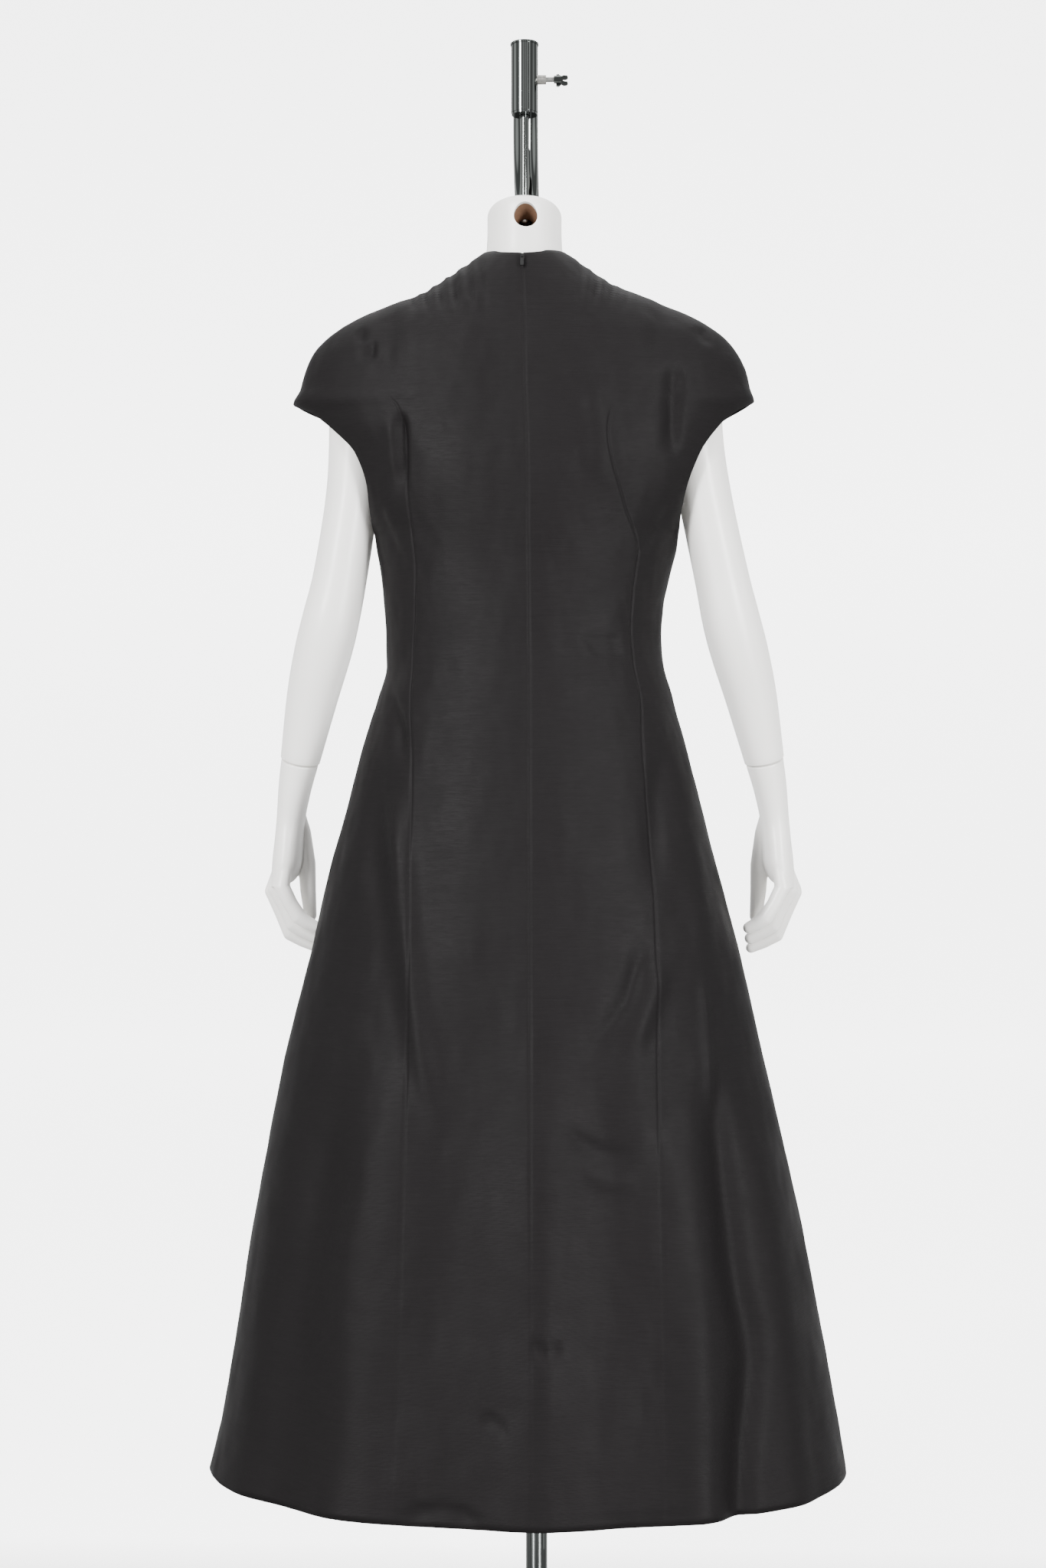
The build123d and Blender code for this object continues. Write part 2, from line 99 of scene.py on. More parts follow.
# ---------------------------------------------------------------- materials
def shader(name, colour, roughness, **more):
    """A new material with its constants on the shader's own sockets."""
    material = bpy.data.materials.new(name)
    material.use_nodes = True
    principled = material.node_tree.nodes["Principled BSDF"]
    principled.inputs["Base Color"].default_value = (*colour, 1)
    principled.inputs["Roughness"].default_value = roughness
    for socket, value in more.items():
        principled.inputs[socket.replace("_", " ")].default_value = value
    return material, material.node_tree, principled


def node(tree, kind, inputs=(), **settings):
    """Adds a node. inputs holds (socket, constant) and (socket, output to link)."""
    made = tree.nodes.new(kind)
    for key, value in settings.items():
        setattr(made, key, value)
    for socket, value in inputs:
        if isinstance(value, bpy.types.NodeSocket):
            tree.links.new(value, made.inputs[socket])
        else:
            made.inputs[socket].default_value = value
    return made


def object_place(tree, scale=(1, 1, 1)):
    place = node(tree, "ShaderNodeTexCoord").outputs["Object"]
    return node(tree, "ShaderNodeMapping", [("Vector", place), ("Scale", scale)]).outputs["Vector"]


def noise_of(tree, place, scale, detail=3.0, roughness=0.5):
    inputs = [("Vector", place), ("Scale", scale), ("Detail", detail), ("Roughness", roughness)]
    return node(tree, "ShaderNodeTexNoise", inputs).outputs["Fac"]


def spread(tree, value, low, high):
    """Turns a 0 to 1 value into low to high."""
    inputs = [("Value", value), ("From Min", 0.3), ("From Max", 0.7), ("To Min", low), ("To Max", high)]
    return node(tree, "ShaderNodeMapRange", inputs).outputs["Result"]


def mix_colour(tree, factor, a, b):
    made = tree.nodes.new("ShaderNodeMix")
    made.data_type = "RGBA"
    tree.links.new(factor, made.inputs["Factor"])
    made.inputs[6].default_value = (*a, 1)
    made.inputs[7].default_value = (*b, 1)
    return made.outputs[2]


def raise_by(tree, principled, height, distance, strength=1.0, under=None):
    inputs = [("Height", height), ("Distance", distance), ("Strength", strength)]
    made = node(tree, "ShaderNodeBump", inputs)
    if under is not None:
        tree.links.new(under, made.inputs["Normal"])
    tree.links.new(made.outputs["Normal"], principled.inputs["Normal"])
    return made.outputs["Normal"]


def make_paint():
    """Satin off-white lacquer, faintly uneven, with a trace of spray texture."""
    coat = {"Coat_Weight": 0.12, "Coat_Roughness": 0.25}
    material, tree, principled = shader("form_paint", (0.80, 0.785, 0.76), 0.36, **coat)
    place = object_place(tree)
    cloud = noise_of(tree, place, 9.0)
    colour = mix_colour(tree, cloud, (0.79, 0.775, 0.745), (0.83, 0.82, 0.80))
    tree.links.new(colour, principled.inputs["Base Color"])
    tree.links.new(spread(tree, noise_of(tree, place, 40.0), 0.30, 0.42), principled.inputs["Roughness"])
    raise_by(tree, principled, noise_of(tree, place, 900.0, 2.0), 0.00012, 0.35)
    return material


def make_chrome(name="chrome", colour=(0.125, 0.135, 0.13), roughness=0.05):
    """Plating with faint wiping marks. The default colour is far darker and greener than real chrome: painted
    shade, standing in for the dark studio that the plating mirrors.
    """
    material, tree, principled = shader(name, colour, roughness, Metallic=1.0)
    place = object_place(tree, (1, 1, 0.25))
    wiped = spread(tree, noise_of(tree, place, 120.0), roughness * 0.6, roughness * 1.8)
    tree.links.new(wiped, principled.inputs["Roughness"])
    return material


def make_steel(name, colour, roughness, grain=(1, 1, 1), size=400.0):
    """Bare or zinc plated steel with a fine grain."""
    material, tree, principled = shader(name, colour, roughness, Metallic=1.0)
    place = object_place(tree, grain)
    streak = noise_of(tree, place, size, 4.0, 0.7)
    darker = tuple(c * 0.78 for c in colour)
    tree.links.new(mix_colour(tree, streak, darker, colour), principled.inputs["Base Color"])
    tree.links.new(spread(tree, streak, roughness * 0.75, roughness * 1.35), principled.inputs["Roughness"])
    raise_by(tree, principled, streak, 0.00006, 0.4)
    return material


def make_soft_solid(name, colour, roughness, size=500.0, depth=0.0001):
    """Rubber, nylon and other moulded parts."""
    material, tree, principled = shader(name, colour, roughness)
    place = object_place(tree)
    grain = noise_of(tree, place, size)
    lighter = tuple(min(1.0, c * 1.25 + 0.004) for c in colour)
    tree.links.new(mix_colour(tree, grain, colour, lighter), principled.inputs["Base Color"])
    raise_by(tree, principled, grain, depth, 0.4)
    return material


def make_wood():
    """Raw brown hardwood, its grain along the neck."""
    material, tree, principled = shader("core_wood", (0.36, 0.21, 0.12), 0.62)
    place = object_place(tree, (1, 1, 0.08))
    rings = noise_of(tree, place, 260.0, 6.0, 0.65)
    colour = mix_colour(tree, rings, (0.10, 0.052, 0.030), (0.22, 0.125, 0.075))
    tree.links.new(colour, principled.inputs["Base Color"])
    raise_by(tree, principled, rings, 0.0003, 0.6)
    return material


def make_cloth():
    """Black faille: fine ribs that run round the body, crossed by the warp, with a soft sheen."""
    black, worn = (0.0064, 0.0058, 0.0061), (0.0090, 0.0082, 0.0085)
    material, tree, principled = shader("dress_cloth", black, 0.5, IOR=1.13)
    slub = noise_of(tree, object_place(tree, (30, 30, 900)), 1.0, 4.0, 0.6)
    tree.links.new(mix_colour(tree, slub, black, worn), principled.inputs["Base Color"])
    soft = noise_of(tree, object_place(tree), 14.0, 3.0)
    tree.links.new(spread(tree, soft, 0.42, 0.55), principled.inputs["Roughness"])
    ribs = node(
        tree, "ShaderNodeTexWave",
        [("Vector", object_place(tree)), ("Scale", 330.0), ("Distortion", 2.5), ("Detail", 2.0),
         ("Detail Scale", 0.4)],
        wave_type="BANDS", bands_direction="Z",
    ).outputs["Fac"]
    under = raise_by(tree, principled, slub, 0.0005, 0.45)
    raise_by(tree, principled, ribs, 0.00025, 0.35, under)
    return material


CHROME = make_chrome()
PAINT = make_paint()
CLOTH_BLACK = make_cloth()
ZINC = make_steel("zinc_steel", (0.34, 0.34, 0.33), 0.32)
BRUSHED = make_steel("plate_steel", (0.52, 0.52, 0.53), 0.34, (1, 14, 1), 120.0)
RUBBER = make_soft_solid("pad_rubber", (0.022, 0.022, 0.022), 0.75)
NYLON = make_soft_solid("guide_nylon", (0.70, 0.69, 0.65), 0.45)
ALLOY = make_steel("boss_alloy", (0.42, 0.41, 0.39), 0.3)
BRASS = make_steel("pad_brass", (0.72, 0.52, 0.22), 0.3)
WOOD = make_wood()
NUT = make_steel("worn_nut", (0.60, 0.61, 0.60), 0.34)
ZIP_METAL = make_chrome("zip_metal", (0.035, 0.035, 0.035), 0.3)
TAPE = make_soft_solid("zip_tape_cloth", (0.02, 0.02, 0.02), 0.8, 900.0, 0.0002)
MATERIALS = {
    "form_paint": PAINT, "chrome_tube": CHROME, "plate_steel": BRUSHED, "zinc_steel": ZINC,
    "pad_rubber": RUBBER, "core_wood": WOOD, "boss_alloy": ALLOY, "pad_brass": BRASS,
    "guide_nylon": NYLON, "dress_cloth": CLOTH_BLACK, "zip_tape_cloth": TAPE, "zip_metal": ZIP_METAL,
}


def dress_cad_nodes():
    """Every node that stays takes the detailed material of its slot."""
    for part in frame["record"]["subparts"]:
        slots = frame["nodes"][part["node"]].material_slots
        for one in slots:
            one.material = MATERIALS[part["material_slot"]]
    for one in frame["nodes"]["neck_dome_nut"].material_slots:
        one.material = NUT  # duller and lighter, so that it shows in the dark hole


# ---------------------------------------------------------------- meshes
def make_piece(name, verts_mm, faces, body, slot, nodes=()):
    """A smooth mesh from points in mm about the rod's axis."""
    mesh = bpy.data.meshes.new(name)
    points = [(x * MM, y * MM + ROD_Y, z * MM) for x, y, z in verts_mm]
    mesh.from_pydata(points, [], faces)
    mesh.update()
    piece = bpy.data.objects.new(name, mesh)
    bpy.context.collection.objects.link(piece)
    mesh.shade_smooth()
    mesh.materials.append(MATERIALS[slot])
    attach(piece, body)
    if nodes:
        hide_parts(*nodes)
    return piece


def apply_modifiers(piece):
    """Leaves the piece as a plain mesh."""
    graph = bpy.context.evaluated_depsgraph_get()
    done = bpy.data.meshes.new_from_object(piece.evaluated_get(graph))
    piece.modifiers.clear()
    piece.data = done


# ---------------------------------------------------------------- dress
LEFT_EDGE = curve([
    (NECK_Z, 50), (1780, 74), (1762, 103), (1743, 137), (1725, 185), (1706, 223), (1688, 245),
    (1670, 258),
    (1651, 266), (1633, 271), (TIP_Z, 279), (1600, 250), (1582, 228), (1550, 198), (1513, 185),
    (1476, 182),
    (1449, 179), (1412, 173), (1375, 169), (1338, 166), (1302, 166), (1265, 175), (1228, 187),
    (1191, 198),
    (1136, 212), (1062, 233), (952, 258), (842, 286), (731, 308), (621, 328), (510, 345),
    (400, 364), (HEM_Z, 378),
])
RIGHT_EDGE = curve([
    (NECK_Z, 50), (1780, 74), (1762, 101), (1743, 139), (1725, 183), (1706, 222), (1688, 244),
    (1670, 257),
    (1651, 266), (1633, 270), (TIP_Z, 275), (1600, 251), (1582, 231), (1550, 209), (1513, 194),
    (1476, 186),
    (1449, 184), (1412, 175), (1375, 167), (1338, 164), (1302, 167), (1265, 177), (1228, 187),
    (1191, 197),
    (1136, 211), (1062, 230), (952, 259), (842, 284), (731, 310), (621, 334), (510, 355),
    (400, 375), (HEM_Z, 384),
])
BACK_DEPTH = curve([
    (NECK_Z, 56), (1782, 64), (1764, 72), (1744, 79), (1726, 85), (1708, 91), (1690, 98),
    (1660, 106), (TIP_Z, 111),
    (1578, 116), (1530, 118), (1470, 113), (1412, 107), (WAIST_Z, 106), (1250, 120), (1136, 138),
    (860, 176),
    (584, 210), (HEM_Z, 243),
])
FRONT_DEPTH = curve([
    (NECK_Z, 56), (1782, 60), (1764, 66), (1744, 73), (1726, 81), (1708, 89), (1690, 98),
    (1660, 110), (TIP_Z, 121),
    (1578, 132), (1530, 138), (1470, 128), (1412, 117), (WAIST_Z, 107), (1250, 117), (1136, 134),
    (860, 176),
    (584, 210), (HEM_Z, 243),
])


# How far out the long seams run, as a share of the width: left and right, back and front.
BACK_SEAMS = [
    curve([(HEM_Z, 0.37), (700, 0.41), (931, 0.473), (1181, 0.63), (1306, 0.773), (1443, 0.717), (1514, 0.73),
           (1606, 0.57), (1706, 0.50), (NECK_Z, 0.50)]),
    curve([(HEM_Z, 0.43), (700, 0.50), (921, 0.587), (1094, 0.675), (1207, 0.729), (1270, 0.78),
           (1425, 0.757), (1483, 0.64), (1577, 0.442), (1706, 0.38), (NECK_Z, 0.42)]),
]
FRONT_SEAMS = [
    curve([(HEM_Z, 0.42), (1100, 0.5), (WAIST_Z, 0.48), (1500, 0.46), (1617, 0.42), (NECK_Z, 0.45)]),
] * 2
CENTRE_SEAM = curve([
    (HEM_Z, 17), (537, 15), (920, 12.5), (1284, 9.7), (1530, 7), (1700, 3), (1776, 0.5), (NECK_Z, 0),
])
SEGMENT = 54  # columns between two long seams


def armhole(z):
    """Half of the gap between the front and the back of the sleeve, at a height."""
    middle, half = (TIP_Z + UNDERARM_Z) / 2, (TIP_Z - UNDERARM_Z) / 2
    return ARMHOLE * np.sqrt(np.clip(1 - ((z - middle) / half) ** 2, 0, 1))


def dress_rows():
    """Heights of the grid's rows, with one exactly at the sleeve's tip and one at the underarm."""
    top = np.linspace(NECK_Z, TIP_Z, 46)
    sleeve = np.linspace(TIP_Z, UNDERARM_Z, 36)
    waist = np.linspace(UNDERARM_Z, 1200, 50)
    skirt = np.linspace(1200, HEM_Z, 112)
    return np.concatenate([top, sleeve[1:], waist[1:], skirt[1:]])


def along(points, x, z):
    """Each grid point's distance to a line of (x, z) points, its side, and how far along it is, 0 to 1."""
    best = np.full(x.shape, 1e9)
    side = np.zeros(x.shape)
    place = np.zeros(x.shape)
    spans = list(zip(points, points[1:]))
    lengths = [sqrt((b[0] - a[0]) ** 2 + (b[1] - a[1]) ** 2) for a, b in spans]
    start = 0.0
    for (a, b), length in zip(spans, lengths):
        ux, uz = (b[0] - a[0]) / length, (b[1] - a[1]) / length
        t = np.clip((x - a[0]) * ux + (z - a[1]) * uz, 0, length)
        dx, dz = x - a[0] - t * ux, z - a[1] - t * uz
        d = np.hypot(dx, dz)
        near = d < best
        best = np.where(near, d, best)
        side = np.where(near, np.sign(dx * uz - dz * ux), side)
        place = np.where(near, (start + t) / sum(lengths), place)
        start += length
    return best, side, place


def smooth_line(points, steps=5):
    """More points on a smooth curve through a short list."""
    out = []
    last = len(points) - 1
    for i in range(last):
        around = points[max(i - 1, 0)], points[i], points[i + 1], points[min(i + 2, last)]
        for k in range(steps):
            t = k / steps
            row = []
            for p, q, r, s in zip(*around):
                bend = (2 * p - 5 * q + 4 * r - s) * t * t + (3 * q - p - 3 * r + s) * t**3
                row.append(q + ((r - p) * t + bend) / 2)
            out.append(tuple(row))
    return out + [tuple(points[-1])]


def fold(x, z, points, width, height, ends=(0.25, 0.25), lean=0.0):
    """A ridge (or, with a negative height, a valley) along a line. lean makes one side of it steeper."""
    d, side, t = along(smooth_line(points), x, z)
    u = d * side / width
    u = u / (1 + lean * np.tanh(u))
    fade = ease(t, 0, ends[0]) if ends[0] else 1.0
    fade = fade * (1 - ease(t, 1 - ends[1], 1) if ends[1] else 1.0)
    return height * fade * np.exp(-u * u)


def groove(d, depth, width):
    """The cross-section of a sewn seam: a narrow groove between two faint lifts."""
    return 0.15 * depth * np.exp(-((d / (5 * width)) ** 2)) - 1.15 * depth * np.exp(-((d / width) ** 2))


def seam(x, z, points, depth=1.2, width=2.4):
    """A short seam or dart along a line of (x, z) points."""
    d, _, t = along(smooth_line(points), x, z)
    return ease(t, 0, 0.06) * (1 - ease(t, 0.94, 1)) * groove(d, depth, width)


def long_seams(x, y, z, reach, depth=0.9, width=1.5):
    """The seams that lie on the grid's own columns. reach holds each seam's lowest and highest z."""
    step = np.hypot(np.diff(x, axis=1), np.diff(y, axis=1))
    run = np.concatenate([np.zeros((len(x), 1)), np.cumsum(step, axis=1)], axis=1)
    h = np.zeros(x.shape)
    for k, (low, high) in enumerate(reach, start=1):
        d = run - run[:, k * SEGMENT:k * SEGMENT + 1]
        h += groove(d, depth, width) * ease(z, low - 12, low + 12) * (1 - ease(z, high - 12, high + 12))
    return h


def field(x, y, z, size, seed):
    """Smooth noise, about -1 to 1."""
    flat = [noise.noise(Vector((a / size[0], b / size[1], c / size[2])) + Vector((seed, 0, 0)))
            for a, b, c in zip(x.ravel(), y.ravel(), z.ravel())]
    return np.array(flat).reshape(x.shape)


def back_folds(x, z):
    """The back of the dress: heights above its plain shape, in mm."""
    h = np.zeros(x.shape)
    # shoulders and sleeve caps
    for place, size in ((-134, 2.4), (-118, 3.2), (-101, 3.0), (-84, 3.4), (-66, 2.6), (-52, 1.8)):
        h -= size * bump(x, place - 0.12 * (z - 1750), 5.5) * ease(z, 1700, 1742)
    for place, size in ((66, 1.6), (84, 2.2), (103, 2.4), (121, 1.8)):
        h -= size * bump(x, place + 0.14 * (z - 1750), 6.5) * ease(z, 1700, 1742)
    h += fold(x, z, [(-193, 1698), (-192, 1686), (-190, 1676)], 5, -4, (0.3, 0.4))
    h += fold(x, z, [(-180, 1684), (-180, 1668), (-179, 1652)], 6, -5, (0.3, 0.4), 0.3)
    h += fold(x, z, [(176, 1652), (174, 1600), (173, 1534)], 9, -6, (0.2, 0.3), 0.25)
    h += fold(x, z, [(206, 1702), (212, 1690), (220, 1672)], 8, -4, (0.3, 0.4))
    h += fold(x, z, [(150, 1735), (158, 1700), (150, 1640)], 14, -3.5, (0.3, 0.4))
    h += fold(x, z, [(-150, 1732), (-162, 1690), (-158, 1620)], 16, -3, (0.3, 0.4))
    # beside the upper seams
    h += fold(x, z, [(-144, 1596), (-142, 1560), (-141, 1514), (-139, 1490)], 7, -6, (0.2, 0.4), 0.3)
    h += fold(x, z, [(-156, 1590), (-154, 1550), (-152, 1508)], 9, 3, (0.3, 0.4))
    h += fold(x, z, [(74, 1640), (86, 1570), (99, 1483)], 17, 4, (0.3, 0.4))
    # underarm drags
    h += fold(x, z, [(182, 1493), (160, 1462), (132, 1430)], 9, -3, (0.2, 0.4), 0.3)
    h += fold(x, z, [(-176, 1490), (-160, 1450), (-140, 1415)], 9, -3, (0.2, 0.4), 0.3)
    # waist and hips
    h += fold(x, z, [(62, 1332), (88, 1325), (116, 1329)], 4, -2.2, (0.3, 0.3), 0.3)
    h += fold(x, z, [(70, 1318), (94, 1314), (118, 1317)], 4, -2.0, (0.3, 0.3), 0.3)
    h += fold(x, z, [(-168, 1278), (-151, 1247), (-144, 1215), (-141, 1175)], 8, -3.6, (0.25, 0.4), 0.25)
    h += fold(x, z, [(-152, 1165), (-142, 1050), (-128, 930), (-109, 817), (-86, 750)], 15, 6, (0.2, 0.3))
    h += fold(x, z, [(-178, 1190), (-172, 1100), (-165, 980)], 15, -4, (0.3, 0.5))
    h += fold(x, z, [(163, 1222), (152, 1112), (150, 1020)], 14, -4, (0.25, 0.4))
    h += fold(x, z, [(190, 1222), (204, 1080), (212, 915)], 18, 5, (0.2, 0.4))
    h += fold(x, z, [(141, 992), (117, 916), (88, 875), (64, 841)], 9, -3.4, (0.3, 0.3), 0.3)
    h += fold(x, z, [(160, 965), (134, 890), (104, 845)], 13, 4, (0.3, 0.4))
    h += fold(x, z, [(206, 944), (211, 860), (216, 773)], 6, 3, (0.25, 0.3))
    # skirt
    pleat = [(205, 850), (222, 775), (232, 682), (242, 598), (258, 515), (246, 414), (243, 343)]
    h += fold(x, z, pleat, 17, -11, (0.2, 0.0), 0.3)
    h += fold(x, z, [(170, 800), (186, 680), (196, 560), (200, 343)], 30, 8, (0.25, 0.0))
    h += fold(x, z, [(262, 800), (284, 640), (302, 500), (312, 343)], 24, 8, (0.25, 0.0))
    h += fold(x, z, [(80, 900), (92, 700), (104, 500), (110, 343)], 44, -5, (0.3, 0.0))
    h += fold(x, z, [(-60, 1000), (-74, 700), (-92, 343)], 50, -5, (0.3, 0.0))
    h += fold(x, z, [(-150, 900), (-182, 620), (-205, 343)], 46, 7, (0.3, 0.0))
    h += fold(x, z, [(-215, 860), (-252, 600), (-282, 343)], 36, -7, (0.3, 0.0))
    h += fold(x, z, [(-270, 800), (-306, 560), (-332, 343)], 26, 5, (0.3, 0.0))
    h += fold(x, z, [(10, 900), (14, 600), (16, 343)], 38, 4, (0.3, 0.0))
    # crumples
    h += fold(x, z, [(38, 778), (80, 752), (126, 742)], 7, -3.0, (0.3, 0.3), 0.4)
    h += fold(x, z, [(60, 735), (96, 716), (128, 722)], 7, 2.5, (0.3, 0.3), 0.4)
    h += fold(x, z, [(7, 546), (24, 531), (41, 545)], 5, -3.0, (0.3, 0.3), 0.3)
    h += fold(x, z, [(-52, 462), (-34, 457), (-16, 449)], 4, -3.0, (0.3, 0.3), 0.4)
    h += fold(x, z, [(-150, 346), (-104, 361), (-76, 360), (-34, 345)], 5, -4.0, (0.3, 0.3), 0.2)
    h += fold(x, z, [(60, 352), (130, 348), (200, 356)], 5, -2.0, (0.3, 0.3))
    h += seam(x, z, [(179, 1494), (160, 1464), (133, 1433)], 0.9, 2.2)
    return h


def front_folds(x, z):
    """The front of the dress, which is the quieter side."""
    h = np.zeros(x.shape)
    for s in (-1, 1):
        h += bump(x, s * 78, 52) * bump(z, 1520, 60) * 12
        h += fold(x, z, [(s * 150, 1700), (s * 160, 1600), (s * 150, 1530)], 15, -5, (0.3, 0.4))
        h += fold(x, z, [(s * 175, 1480), (s * 130, 1500), (s * 105, 1515)], 9, -4, (0.2, 0.5), 0.3)
        h += fold(x, z, [(s * 70, 1180), (s * 90, 800), (s * 118, 343)], 44, -9, (0.3, 0.0))
        h += fold(x, z, [(s * 130, 1150), (s * 175, 760), (s * 215, 343)], 40, 10, (0.3, 0.0))
        h += fold(x, z, [(s * 180, 1050), (s * 250, 640), (s * 290, 343)], 32, -11, (0.3, 0.0))
        h += seam(x, z, [(s * 176, 1500), (s * 140, 1506), (s * 112, 1516)])
    h += fold(x, z, [(4, 1150), (-4, 700), (0, 343)], 46, 8, (0.3, 0.0))
    h += fold(x, z, [(-60, 1300), (-10, 1285), (50, 1300)], 8, -2.5, (0.3, 0.3), 0.3)
    return h


def seam_angles(sign, rows, start, left, right):
    """Angles of the side edges and of the three long seams between them, one row of them per height."""
    shares = BACK_SEAMS if sign < 0 else FRONT_SEAMS
    reach = np.cos(start)
    first = np.arccos(shares[0](rows) * reach)
    middle = pi / 2 + np.arcsin(CENTRE_SEAM(rows) / (left + right) * 2)
    last = pi - np.arccos(shares[1](rows) * reach)
    return np.stack([start, first, middle, last, pi - start], axis=1)


def dress_side(sign):
    """A grid of points for the back (sign -1) or the front (1): arrays of x, y, z in mm."""
    rows = dress_rows()
    count = 4 * SEGMENT + 1
    t = np.linspace(0, 1, count)
    crowd = np.linspace(0, 1, SEGMENT + 1)
    crowd = 0.45 * crowd + 0.55 * (1 - np.cos(pi * crowd)) / 2  # columns crowd towards the seams
    row_z = rows[:, None]
    dip = (11 if sign < 0 else 42) * np.sin(pi * t[None, :]) ** 1.5
    z = row_z - dip * ease(row_z, 1700, NECK_Z)
    if sign < 0:
        z = z - 3.0 * bump(t[None, :], 0.5, 0.012) * ease(row_z, 1785, NECK_Z)  # the notch over the zip
    depth = (BACK_DEPTH if sign < 0 else FRONT_DEPTH)(z)
    gap = np.minimum(armhole(rows), 0.9 * depth.min(axis=1))
    start = np.arcsin(gap / depth.min(axis=1))
    left, right = LEFT_EDGE(rows), RIGHT_EDGE(rows)
    if sign > 0:
        cut_in = 1 - 0.09 * np.sin(pi * np.clip((rows - UNDERARM_Z) / (TIP_Z - UNDERARM_Z), 0, 1)) ** 0.6
        left, right = left * cut_in, right * cut_in
    keys = seam_angles(sign, rows, start, left, right)
    angle = np.zeros((len(rows), count))
    for k in range(4):
        near, far = keys[:, k:k + 1], keys[:, k + 1:k + 2]
        angle[:, k * SEGMENT:(k + 1) * SEGMENT + 1] = near + (far - near) * crowd
    half = np.where(np.cos(angle) > 0, LEFT_EDGE(z), RIGHT_EDGE(z))
    if sign > 0:
        half = half * cut_in[:, None]
    x = -half / np.cos(start)[:, None] * np.cos(angle)
    y = sign * depth * np.sin(angle)
    return x, y, z


def grid_normals(x, y, z):
    p = np.stack([x, y, z], axis=-1)
    across, down = np.gradient(p, axis=1), np.gradient(p, axis=0)
    n = np.cross(across, down)
    length = np.linalg.norm(n, axis=-1, keepdims=True)
    return n / np.maximum(length, 1e-9)


def shaped_side(sign):
    """The side with its folds, seams and fine wrinkles."""
    x, y, z = dress_side(sign)
    normal = grid_normals(x, y, z) * sign
    calm_edge = np.clip(1 - (np.abs(x) / np.where(x < 0, LEFT_EDGE(z), RIGHT_EDGE(z))) ** 6, 0, 1)
    calm_edge = np.maximum(calm_edge, 0.8 * ease(z, 1705, 1735))  # the shoulder gathers reach the outline
    if sign < 0:
        # the back's folds are listed as they line up from the camera
        seen_x = x + y * tan(radians(CAMERA_TURN))
        h = back_folds(seen_x, z) * calm_edge * BACK_FOLD_GAIN
    else:
        h = front_folds(x, z) * calm_edge
    everywhere = (HEM_Z - 50, NECK_Z + 50)
    if sign < 0:
        reach = [(HEM_Z - 50, 1606), everywhere, (HEM_Z - 50, 1590)]
    else:
        reach = [(HEM_Z - 50, 1740), (0, 1), (HEM_Z - 50, 1740)]
    h += long_seams(x, y, z, reach) * (0.2 + 0.8 * ease(z, 520, 900))
    skirt = ease(-z, -1250, -600)
    h += field(x, y, z, (55, 55, 160), 3.0) * (1.2 + 2.2 * skirt) * calm_edge
    h += field(x, y, z, (20, 20, 34), 9.0) * 0.7
    h += field(x, y, z, (9, 9, 14), 21.0) * 0.22
    h *= ease(-dress_rows()[:, None], -NECK_Z, -NECK_Z + 16)
    return np.stack([x, y, z], axis=-1) + normal * h[..., None]


def build_dress():
    """Front and back panels, joined at the shoulders and sides and open at the sleeves."""
    back, front = shaped_side(-1), shaped_side(1)
    rows = dress_rows()
    closed = armhole(rows) < 0.01
    for side in (0, -1):
        middle = (back[:, side] + front[:, side]) / 2
        back[closed, side] = middle[closed]
        front[closed, side] = middle[closed]
    count, columns = back.shape[0], back.shape[1]
    verts = [tuple(p) for p in back.reshape(-1, 3)]
    ids_back = np.arange(count * columns).reshape(count, columns)
    ids_front = ids_back.copy()
    for r in range(count):
        for c in range(columns):
            if closed[r] and c in (0, columns - 1):
                continue
            ids_front[r, c] = len(verts)
            verts.append(tuple(front[r, c]))
    faces = []
    for r in range(count - 1):
        for c in range(columns - 1):
            a = ids_back
            faces.append((a[r, c], a[r + 1, c], a[r + 1, c + 1], a[r, c + 1]))
            a = ids_front
            faces.append((a[r, c], a[r, c + 1], a[r + 1, c + 1], a[r + 1, c]))
    faces = [tuple(int(i) for i in f) for f in faces]
    piece = make_piece("dress", verts, faces, "mannequin", "dress_cloth", ("dress_bodice", "dress_skirt"))
    solid = piece.modifiers.new("thickness", "SOLIDIFY")
    solid.thickness = CLOTH * MM
    solid.offset = -1
    apply_modifiers(piece)
    piece.data.shade_smooth()
    return piece


def build_zip_tapes():
    """The zip's woven tapes and its coil, which lie behind the closed centre seam."""
    back = shaped_side(-1)[:, 2 * SEGMENT]
    order = np.argsort(back[:, 2])
    heights = np.arange(ZIP_END_Z, back[:, 2].max() - 2, 1.25)
    x = np.interp(heights, back[order, 2], back[order, 0])
    y = np.interp(heights, back[order, 2], back[order, 1]) + CLOTH + 0.4
    section = [(-12, 0), (12, 0), (12, 0.5), (2.2, 0.5), (1.5, 1.9), (-1.5, 1.9), (-2.2, 0.5), (-12, 0.5)]
    verts, faces = [], []
    for i, (cx, cy, cz) in enumerate(zip(x, y, heights)):
        tooth = 0.55 if i % 2 else 1.0
        for dx, dy in section:
            coil = tooth if dy > 0.5 else 1.0
            verts.append((cx + dx * coil, cy + dy * coil, cz))
    count = len(section)
    for r in range(len(heights) - 1):
        for k in range(count):
            n = (k + 1) % count
            faces.append((r * count + k, r * count + n, (r + 1) * count + n, (r + 1) * count + k))
    faces.append(tuple(reversed(range(count))))
    faces.append(tuple(range((len(heights) - 1) * count, len(heights) * count)))
    make_piece("zip_tapes", verts, faces, "mannequin", "zip_tape_cloth", ("zip_tape",))


# ---------------------------------------------------------------- arms and hands
FOREARM = Vector((0.218, 0.245, -0.945)).normalized()
SEAM = Vector((284.0, 50.5, 1190.0))  # middle of the right arm's seam above the wrist
SHOULDER_X, SHOULDER_Z = 165.5, 1648.0
ARM_ASIDE = 6.5  # both arms hang this far towards the form's right
